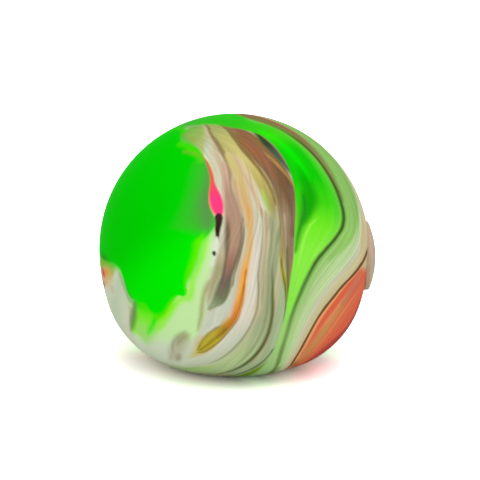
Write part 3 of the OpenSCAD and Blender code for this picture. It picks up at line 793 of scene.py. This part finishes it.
def marbledRubber():
    finish = Finish("marbledRubber", **{"Specular IOR Level": skin["gloss"]})
    home = finish.node("ShaderNodeAttribute", {"attribute_name": "home"}, None, "Vector")
    fromCentre = home - tuple(ballCentre)
    direction = fromCentre.sum("NORMALIZE", fromCentre)
    middle, right, up = (direction.dot(tuple(axis)) for axis in poolFrame())
    degrees = 180 / np.pi
    plainOut = middle.sum("ARCCOSINE", middle) * degrees
    plainAround = up.sum("ARCTAN2", up, right) * degrees

    # Both angles wander a little, so that no line runs quite true
    stray = skin["wander"]
    place = {0: right * stray["along"], 1: up * stray["along"], 2: plainOut * stray["across"]}
    wander = finish.noise(finish.node("ShaderNodeCombineXYZ", None, place), 1, 3) - 0.5
    out = plainOut + wander * stray["out"]
    around = plainAround + wander * stray["around"]
    lines = {name: finish.curve(around, points) for name, points in flow.items()}
    order = list(lines.values())
    band = sum((finish.share(out, low, high) for low, high in zip(order[1:], order[2:])),
               finish.share(out, order[0], order[1]))
    back = finish.ease(abs(around), *skin["backTurns"])
    near = finish.mix(finish.ramp(band, nearBands), finish.ramp(band, backBands), back)
    colour = finish.mix(near, finish.ramp(band, farBands), finish.ease(band, *skin["farBand"]))
    colour = lay(finish, colour, streaks, around, out)

    # Noise drawn out along the flow, because it changes slowly with the direction and fast across the bands
    def flowNoise(name):
        along, across, detail, shift = skin[name]
        place = (band * across + shift) * (1 / along)
        inputs = {"Vector": direction, "W": place, "Scale": along, "Detail": detail}
        return finish.node("ShaderNodeTexNoise", {"noise_dimensions": "4D"}, inputs)

    # Fine threads that the pouring drew between the bands, some lighter, some warmer and some greener
    thread, fibre, tint = (flowNoise(name) for name in ("thread", "fibre", "tint"))
    warm, cool, less = skin["warmTint"], skin["greenTint"], skin["calm"]
    calm = finish.ease(around, *less["turns"])
    share = finish.ease(tint, warm["start"], warm["full"]) * (warm["share"] - calm * less["warm"])
    colour = finish.mix(colour, pigment("rosyTan"), share)
    share = finish.ease(tint, cool["start"], cool["full"]) * cool["share"]
    colour = finish.mix(colour, pigment("sage"), share)
    darkest, lightest = skin["threadShade"]
    strength = finish.between(thread, darkest + calm * less["dark"], lightest - calm * less["light"])
    colour = finish.dim(colour, strength * finish.between(fibre, *skin["fibreShade"]))

    colour = lay(finish, colour, patches, around, out)
    colour = lay(finish, colour, crossPatches, out, around)

    # The red leaf, with a dark line along its edge, which fades at its root, at its tip and underneath
    edge = out - lines["leafEdge"]
    outline = finish.curve(around, leafLine)
    leaf = skin["leaf"]
    share = finish.ease(edge + outline, -leaf["soft"], leaf["soft"]) * finish.ease(around, *leaf["tip"])
    share = share * finish.ease(out, *leaf["under"]) * finish.ease(around, *leaf["root"])
    red = lay(finish, finish.ramp(edge, leafBands), leafStreaks, around, out)
    red = finish.mix(pigment("sandWarm"), red, finish.ease(around, *leaf["sand"]))
    red = finish.mix(red, pigment("darkBrown"), finish.ease(edge - outline, *leaf["line"]))
    colour = finish.mix(colour, red, share)

    # The green ribbon, with a dark line outside it
    ribbon = skin["ribbon"]
    blur = finish.curve(around, ribbonBlur)
    share = finish.ease(out - lines["ribbonIn"] + ribbon["lap"], blur * -1, blur)
    share = share * finish.ease(lines["ribbonOut"] - out, -ribbon["soft"], ribbon["soft"])
    green = lay(finish, finish.ramp(around, sorted(ribbonColours)), ribbonStreaks, around, out)
    green = finish.dim(green, finish.between(flowNoise("sheen"), *skin["sheenShade"]))
    colour = finish.mix(colour, green, share)
    rimWidth = finish.curve(around, ribbonRim)
    rim = finish.ease(rimWidth - abs(out - lines["ribbonOut"]), *ribbon["rimSoft"])
    colour = finish.mix(colour, finish.ramp(around, sorted(ribbonRimColours)), rim)

    # The pool, brighter at its low side
    blur = finish.curve(around, poolBlur)
    pool = finish.ease(lines["poolEdge"] - out, blur * -1, blur)
    low = skin["poolLow"]
    lowSide = finish.ease(right * low["right"] - up * low["up"], *low["soft"])
    poolGreen = finish.mix(pigment("neonGreen"), pigment("brightGreen"), lowSide)
    colour = finish.mix(colour, lay(finish, poolGreen, poolStreaks, around, out), pool)

    grain = skin["speckle"]
    speckle = finish.bump(finish.noise(home, grain["scale"], 3), grain["strength"], grain["depth"])
    finish.drive(Base_Color=colour, Roughness=finish.between(thread, *skin["roughness"]), Normal=speckle)
    return finish.material


# Rings from the far side of the inner wall up to the neck, down its outside, through the hole, over the seat
# and its rounded rim, and along the outer wall back to the far side
def makeSkin():
    turns = np.linspace(0, fullTurn, skin["around"], endpoint=False)
    wall = skin["wall"]
    neckR = skin["holeR"] + skin["neckWall"]
    neckX = seatX - skin["neckLength"]
    seatR = headR + skin["seatGap"]
    neckRoot = holeCircle(neckR, sideX(neckR, turns, wall), turns)
    innerSteps = np.linspace(1, 0, skin["innerRows"])[1:]
    inner = settledBall(sweepTo(unit(neckRoot - ballCentre), farPole, innerSteps), wall)
    neckEnd = holeCircle(neckR, neckX, turns)
    boreEnd = holeCircle(skin["holeR"], neckX, turns)
    boreMouth = holeCircle(skin["holeR"], seatX, turns)
    seatEdge = holeCircle(seatR, seatX, turns)
    rim = holeCircle(seatR, sideX(seatR, turns), turns)
    roundness = np.minimum(skin["rimRound"], skin["rimMost"] * (rim[:, 0] - seatX))
    wallTop = rim - roundness[:, None] * np.array([1, 0, 0])
    rimWay = unit(rim - ballCentre)
    nudge = np.array([0.01])  # a first short step along the side
    sideStart = sweepTo(rimWay, farPole, nudge)[0] - rimWay
    outerWay = unit(rimWay + unit(sideStart) * (roundness / ball["radius"])[:, None])
    step = np.linspace(0, 1, skin["rimRows"])[:, None, None]
    rimRows = (1 - step) ** 2 * wallTop + 2 * step * (1 - step) * rim + step ** 2 * settledBall(outerWay)
    neckSteps, faceSteps = (np.linspace(0, 1, skin[key])[1:] for key in ("neckRows", "faceRows"))
    outer = settledBall(sweepTo(outerWay, farPole, np.linspace(0, 1, skin["outerRows"])[1:-1]))
    rows = np.concatenate([
        inner,
        ruled(neckRoot, neckEnd, neckSteps),
        ruled(neckEnd, boreEnd, faceSteps),
        ruled(boreEnd, boreMouth, neckSteps),
        ruled(boreMouth, seatEdge, faceSteps),
        rimRows,
        outer,
    ])
    ends = settledBall(np.array([farPole, farPole]), np.array([wall, 0]))
    piece = ringMesh("squishySkin", rows, ends[0], ends[1], "marbled_skin", "marbled_skin", marbledRubber())
    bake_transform(piece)
    return piece


print("skin")
makeSkin()


# The plug of soft rubber in the fill hole, turned about the hole's axis
plug = dict(
    edge=1.3 * mm,  # height of the head at its edge
    edgeRound=0.6 * mm,
    stemGap=0.05 * mm,
    barbLip=1 * mm,
    barbTip=3.2 * mm,
    barbGap=0.1 * mm,
    smallRound=0.12 * mm,
    around=180,
    crownRows=44,
    edgeRows=10,
    bendRows=6,
    gloss=0.1,
    roughness=(0.5, 0.6),
    cloud=(120, 300, 60),  # scales of a noise along x, y and z
    fine=(200, 1500, 90),
    fineShade=(0.94, 1.05),
    blush=8 * mm,  # height over which the sage turns pink
    line=dict(depth=0.62, half=0.05, share=0.5),  # a darker line round the crown
    crown=dict(start=0.6, end=0.95, share=0.8),  # darker tan towards the middle of the crown
    grain=dict(scale=1200, strength=0.06, depth=0.4 * mm),
)


# A bend at one corner of an outline: a quadratic curve between points a cut's length along its two sides
def bend(before, corner, after, cut):
    before, corner, after = (np.array(point) for point in (before, corner, after))
    start = corner + unit(before - corner) * cut
    end = corner + unit(after - corner) * cut
    share = np.linspace(0, 1, plug["bendRows"])[:, None]
    return (1 - share) ** 2 * start + 2 * share * (1 - share) * corner + share ** 2 * end


# Outline as (x, radius): the barb, the stem and the head's edge from their corners, then the edge rounding as
# an arc about its own centre, up to the slope at which it meets the crown, and the crown as an arc to the
# axis
def plugOutline():
    tipX, topX, headX = plugLow[0], plugHigh[0], glueHigh[0]
    stemR = skin["holeR"] - plug["stemGap"]
    shoulderX = seatX - skin["neckLength"] - plug["barbGap"]
    crownRise = topX - headX - plug["edge"]
    crownR = (headR ** 2 + crownRise ** 2) / (2 * crownRise)
    crownX = topX - crownR
    roundR = headR - plug["edgeRound"]
    roundX = crownX + np.sqrt((crownR - plug["edgeRound"]) ** 2 - roundR ** 2)
    corners = [(tipX, 0), (tipX, plug["barbTip"]), (shoulderX, skin["holeR"] + plug["barbLip"]),
               (shoulderX, stemR), (headX, stemR), (headX, headR), (roundX, headR)]
    bends = [bend(*corners[i - 1:i + 2], plug["smallRound"]) for i in range(1, len(corners) - 1)]
    meet = np.arctan2(roundX - crownX, roundR)
    turn = np.linspace(0, meet, plug["edgeRows"])
    rounding = np.stack([np.sin(turn), np.cos(turn)], -1) * plug["edgeRound"] + (roundX, roundR)
    climb = np.linspace(meet, np.pi / 2, plug["crownRows"])[1:-1]
    crown = np.stack([np.sin(climb), np.cos(climb)], -1) * crownR + (crownX, 0)
    return np.concatenate([*bends, rounding, crown])


def plugRubber():
    finish = Finish("plugRubber", **{"Specular IOR Level": plug["gloss"]})
    where = finish.where()
    height = where.dot((0, 0, 1))
    depth = finish.share(where.dot((1, 0, 0)), glueHigh[0], plugHigh[0])  # from the head's edge to its crown
    cloud = finish.noise(finish.place(plug["cloud"]), 1, 3)
    fine = finish.noise(finish.place(plug["fine"]), 1, 2)
    pink = finish.ease(height + cloud * plug["blush"], holeHeight, holeHeight + plug["blush"])
    colour = finish.mix(pigment("plugSage"), pigment("plugPink"), pink)
    line, crown, grain = plug["line"], plug["crown"], plug["grain"]
    ring = finish.ease(line["half"] - abs(depth - line["depth"]), 0, line["half"])
    colour = finish.mix(colour, pigment("plugLine"), ring * line["share"])
    middle = finish.ease(depth, crown["start"], crown["end"])
    colour = finish.mix(colour, pigment("plugTan"), middle * crown["share"])
    colour = finish.dim(colour, finish.between(fine, *plug["fineShade"]))
    rough = finish.bump(finish.noise(where, grain["scale"], 3), grain["strength"], grain["depth"])
    finish.drive(Base_Color=colour, Roughness=finish.between(fine, *plug["roughness"]), Normal=rough)
    return finish.material


def makePlug():
    outline = plugOutline()
    turns = np.linspace(0, fullTurn, plug["around"], endpoint=False)
    rows = holeCircle(outline[:, 1, None], outline[:, 0, None], turns[None, :])
    ends = [(x, 0, holeHeight) for x in (plugLow[0], plugHigh[0])]
    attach(ringMesh("rubberPlug", rows, *ends, "fill_plug", "plug_rubber", plugRubber()), "plug")


print("plug")
makePlug()


# The dough inside, which fills the skin round the neck and the barb
dough = dict(
    gap=0.1 * mm,
    around=200,
    rows=150,
    foldDepth=0.5 * mm,
    foldWidth=0.06,
    foldStart=0.08,  # share of the way from the mouth in which the folds begin
    waveHeight=0.07,
    waveCount=5,
    folds=[dict(across=(0.3, 0.5, 0.8), at=0.25, wave=(0.9, -0.2, 0.3)),
           dict(across=(-0.2, 0.9, -0.3), at=-0.4, wave=(0.1, 0.4, 0.9)),
           dict(across=(0.7, -0.3, -0.6), at=-0.1, wave=(0.2, 0.9, -0.4)),
           dict(across=(-0.8, -0.5, 0.3), at=0.55, wave=(0.5, -0.6, 0.6))],
    gloss=0.2,
    roughness=(0.74, 0.88),
    cloudScale=90,
    clouds=[(0.3, "doughCream"), (0.55, "doughIvory"), (0.7, "doughCream")],
    grain=dict(scale=1400, strength=0.2, depth=0.3 * mm),
    fleck=dict(start=0.62, full=0.72, share=0.5),
)


# How far the kneaded surface lies below the skin's inside: for each fold, a bell across a wavy plane cut
def foldDepth(directions):
    depth = np.zeros(directions.shape[:-1])
    for fold in dough["folds"]:
        wave = dough["waveHeight"] * np.sin(dough["waveCount"] * directions @ np.array(fold["wave"]))
        away = directions @ unit(np.array(fold["across"])) - fold["at"] + wave
        depth = np.maximum(depth, np.exp(-(away / dough["foldWidth"]) ** 2))
    return depth * dough["foldDepth"]


def kneadedDough():
    finish = Finish("kneadedDough", **{"Specular IOR Level": dough["gloss"]})
    size, fleck = dough["grain"], dough["fleck"]
    where = finish.where()
    clouds = finish.noise(where, dough["cloudScale"], 3)
    grain = finish.noise(where, size["scale"], 3)
    share = finish.ease(grain, fleck["start"], fleck["full"]) * fleck["share"]
    colour = finish.mix(finish.ramp(clouds, dough["clouds"]), pigment("doughFleck"), share)
    rough = finish.bump(grain, size["strength"], size["depth"])
    finish.drive(Base_Color=colour, Roughness=finish.between(grain, *dough["roughness"]), Normal=rough)
    return finish.material


# Rings over the floor of the recess round the plug, up its side to the mouth and along the wall to the back
def makeDough():
    turns = np.linspace(0, fullTurn, dough["around"], endpoint=False)
    inset = skin["wall"] + dough["gap"]
    recessR = skin["holeR"] + skin["neckWall"] + dough["gap"]
    floorX = plugLow[0] - dough["gap"]
    mouth = holeCircle(recessR, sideX(recessR, turns, inset), turns)
    floorEdge = holeCircle(recessR, floorX, turns)
    steps = np.linspace(0, 1, dough["rows"])[1:-1]
    ways = sweepTo(unit(mouth - ballCentre), farPole, steps)
    sink = foldDepth(ways) * np.minimum(steps / dough["foldStart"], 1)[:, None]
    rows = np.concatenate([
        ruled(holeCircle(recessR / 2, floorX, turns), floorEdge, np.linspace(0, 1, 3)),
        ruled(floorEdge, mouth, np.linspace(0, 1, 5)[1:]),
        settledBall(ways, inset) - ways * sink[..., None],
    ])
    deep = settledBall(farPole, inset) - farPole * foldDepth(farPole)
    start = (floorX, 0, holeHeight)
    piece = ringMesh("doughCore", rows, start, deep, "dough_filling", "dough", kneadedDough())
    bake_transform(piece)


print("dough")
makeDough()


# The glue under the plug's head keeps its own solid and gets its finish
glue = dict(
    index=1.47,
    clearness=0.5,
    roughness=(0.12, 0.3),
    clouds=dict(scale=500, strength=0.2, depth=0.2 * mm),
    yellow=(0.4, 0.65),  # the clouds at which yellow starts and is full
)


def clearGlue():
    finish = Finish("clearGlue", **{"IOR": glue["index"], "Transmission Weight": glue["clearness"]})
    size = glue["clouds"]
    clouds = finish.noise(finish.where(), size["scale"], 2)
    colour = finish.mix(pigment("glueClear"), pigment("glueYellow"), finish.ease(clouds, *glue["yellow"]))
    ripple = finish.bump(clouds, size["strength"], size["depth"])
    finish.drive(Base_Color=colour, Roughness=finish.between(clouds, *glue["roughness"]), Normal=ripple)
    return finish.material


print("glue")
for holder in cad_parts["glue_ring"].material_slots:
    holder.material = clearGlue()


# Camera, floor and light
camera = dict(azimuth=-3, elevation=14, distance=600 * mm, clipStart=10 * mm, pixelsPerRadius=134.9,
              ballAt=(234.1, 248.2), image=480)
studio = dict(
    world=0.5,
    worldSeen=1.0,  # what the camera and reflections see instead
    floorColour=0.92,
    floorSeen=2.0,  # what the camera sees instead, so that the open floor is white and the shadow stays
    floorRough=0.9,
    floorReach=3.0,
    lamps=[dict(name="topBox", energy=1.1, azimuth=60, elevation=76, spread=65),
           dict(name="frontBox", energy=0.95, azimuth=6, elevation=40, spread=115)],
)


# The direction from the ball to what stands at an azimuth and an elevation
def toward(row):
    side, rise = np.radians(row["azimuth"]), np.radians(row["elevation"])
    return Vector((np.sin(side) * np.cos(rise), -np.cos(side) * np.cos(rise), np.sin(rise)))


def makeCamera():
    back = toward(camera)
    side = np.radians(camera["azimuth"])
    right = Vector((np.cos(side), np.sin(side), 0))
    up = back.cross(right)
    focal = camera["pixelsPerRadius"] / np.tan(np.arcsin(ball["radius"] / camera["distance"]))
    pixel = camera["distance"] / focal
    offsetX, offsetY = (camera["image"] / 2 - place for place in camera["ballAt"])
    aim = Vector(ballCentre) + right * (offsetX * pixel) - up * (offsetY * pixel)
    lens = bpy.data.cameras.new("camera")
    lens.lens = focal / camera["image"] * lens.sensor_width
    lens.clip_start = camera["clipStart"]
    seen = bpy.data.objects.new("camera", lens)
    turned = back.to_track_quat("Z", "Y").to_matrix().to_4x4()
    seen.matrix_world = Matrix.Translation(aim + back * camera["distance"]) @ turned
    bpy.context.scene.collection.objects.link(seen)
    bpy.context.scene.camera = seen


def makeStudio():
    world = bpy.data.worlds.new("studio")
    world.use_nodes = True
    bpy.context.scene.world = world
    tree = world.node_tree
    rays = tree.nodes.new("ShaderNodeLightPath")
    seen = rays.outputs["Is Camera Ray"]
    for label in ("Is Glossy Ray", "Is Transmission Ray"):
        either = tree.nodes.new("ShaderNodeMath")
        either.operation = "MAXIMUM"
        tree.links.new(seen, either.inputs[0])
        tree.links.new(rays.outputs[label], either.inputs[1])
        seen = either.outputs[0]
    shown = tree.nodes.new("ShaderNodeMix")
    shown.inputs[2].default_value = studio["world"]
    shown.inputs[3].default_value = studio["worldSeen"]
    tree.links.new(seen, shown.inputs[0])
    backdrop = tree.nodes["Background"]
    backdrop.inputs["Color"].default_value = (1, 1, 1, 1)
    tree.links.new(shown.outputs[0], backdrop.inputs["Strength"])
    for row in studio["lamps"]:
        sun = bpy.data.lights.new(row["name"], "SUN")
        sun.energy = row["energy"]
        sun.angle = np.radians(row["spread"])
        lamp = bpy.data.objects.new(row["name"], sun)
        lamp.matrix_world = toward(row).to_track_quat("Z", "Y").to_matrix().to_4x4()
        bpy.context.scene.collection.objects.link(lamp)
    reach = studio["floorReach"]
    sheet = bpy.data.meshes.new("floor")
    corners = [(-reach, -reach, 0), (reach, -reach, 0), (reach, reach, 0), (-reach, reach, 0)]
    sheet.from_pydata(corners, [], [(0, 1, 2, 3)])
    paper = Finish("paper", **{"Roughness": studio["floorRough"], "Specular IOR Level": 0.0})
    lit, seen = ((*[studio[key]] * 3, 1) for key in ("floorColour", "floorSeen"))
    byCamera = paper.node("ShaderNodeLightPath", None, None, "Is Camera Ray")
    paper.drive(Base_Color=paper.mix(lit, seen, byCamera))
    sheet.materials.append(paper.material)
    floorPiece = bpy.data.objects.new("floor", sheet)
    bpy.context.scene.collection.objects.link(floorPiece)
    bpy.context.scene.view_settings.view_transform = "Standard"


print("camera and studio")
makeCamera()
makeStudio()
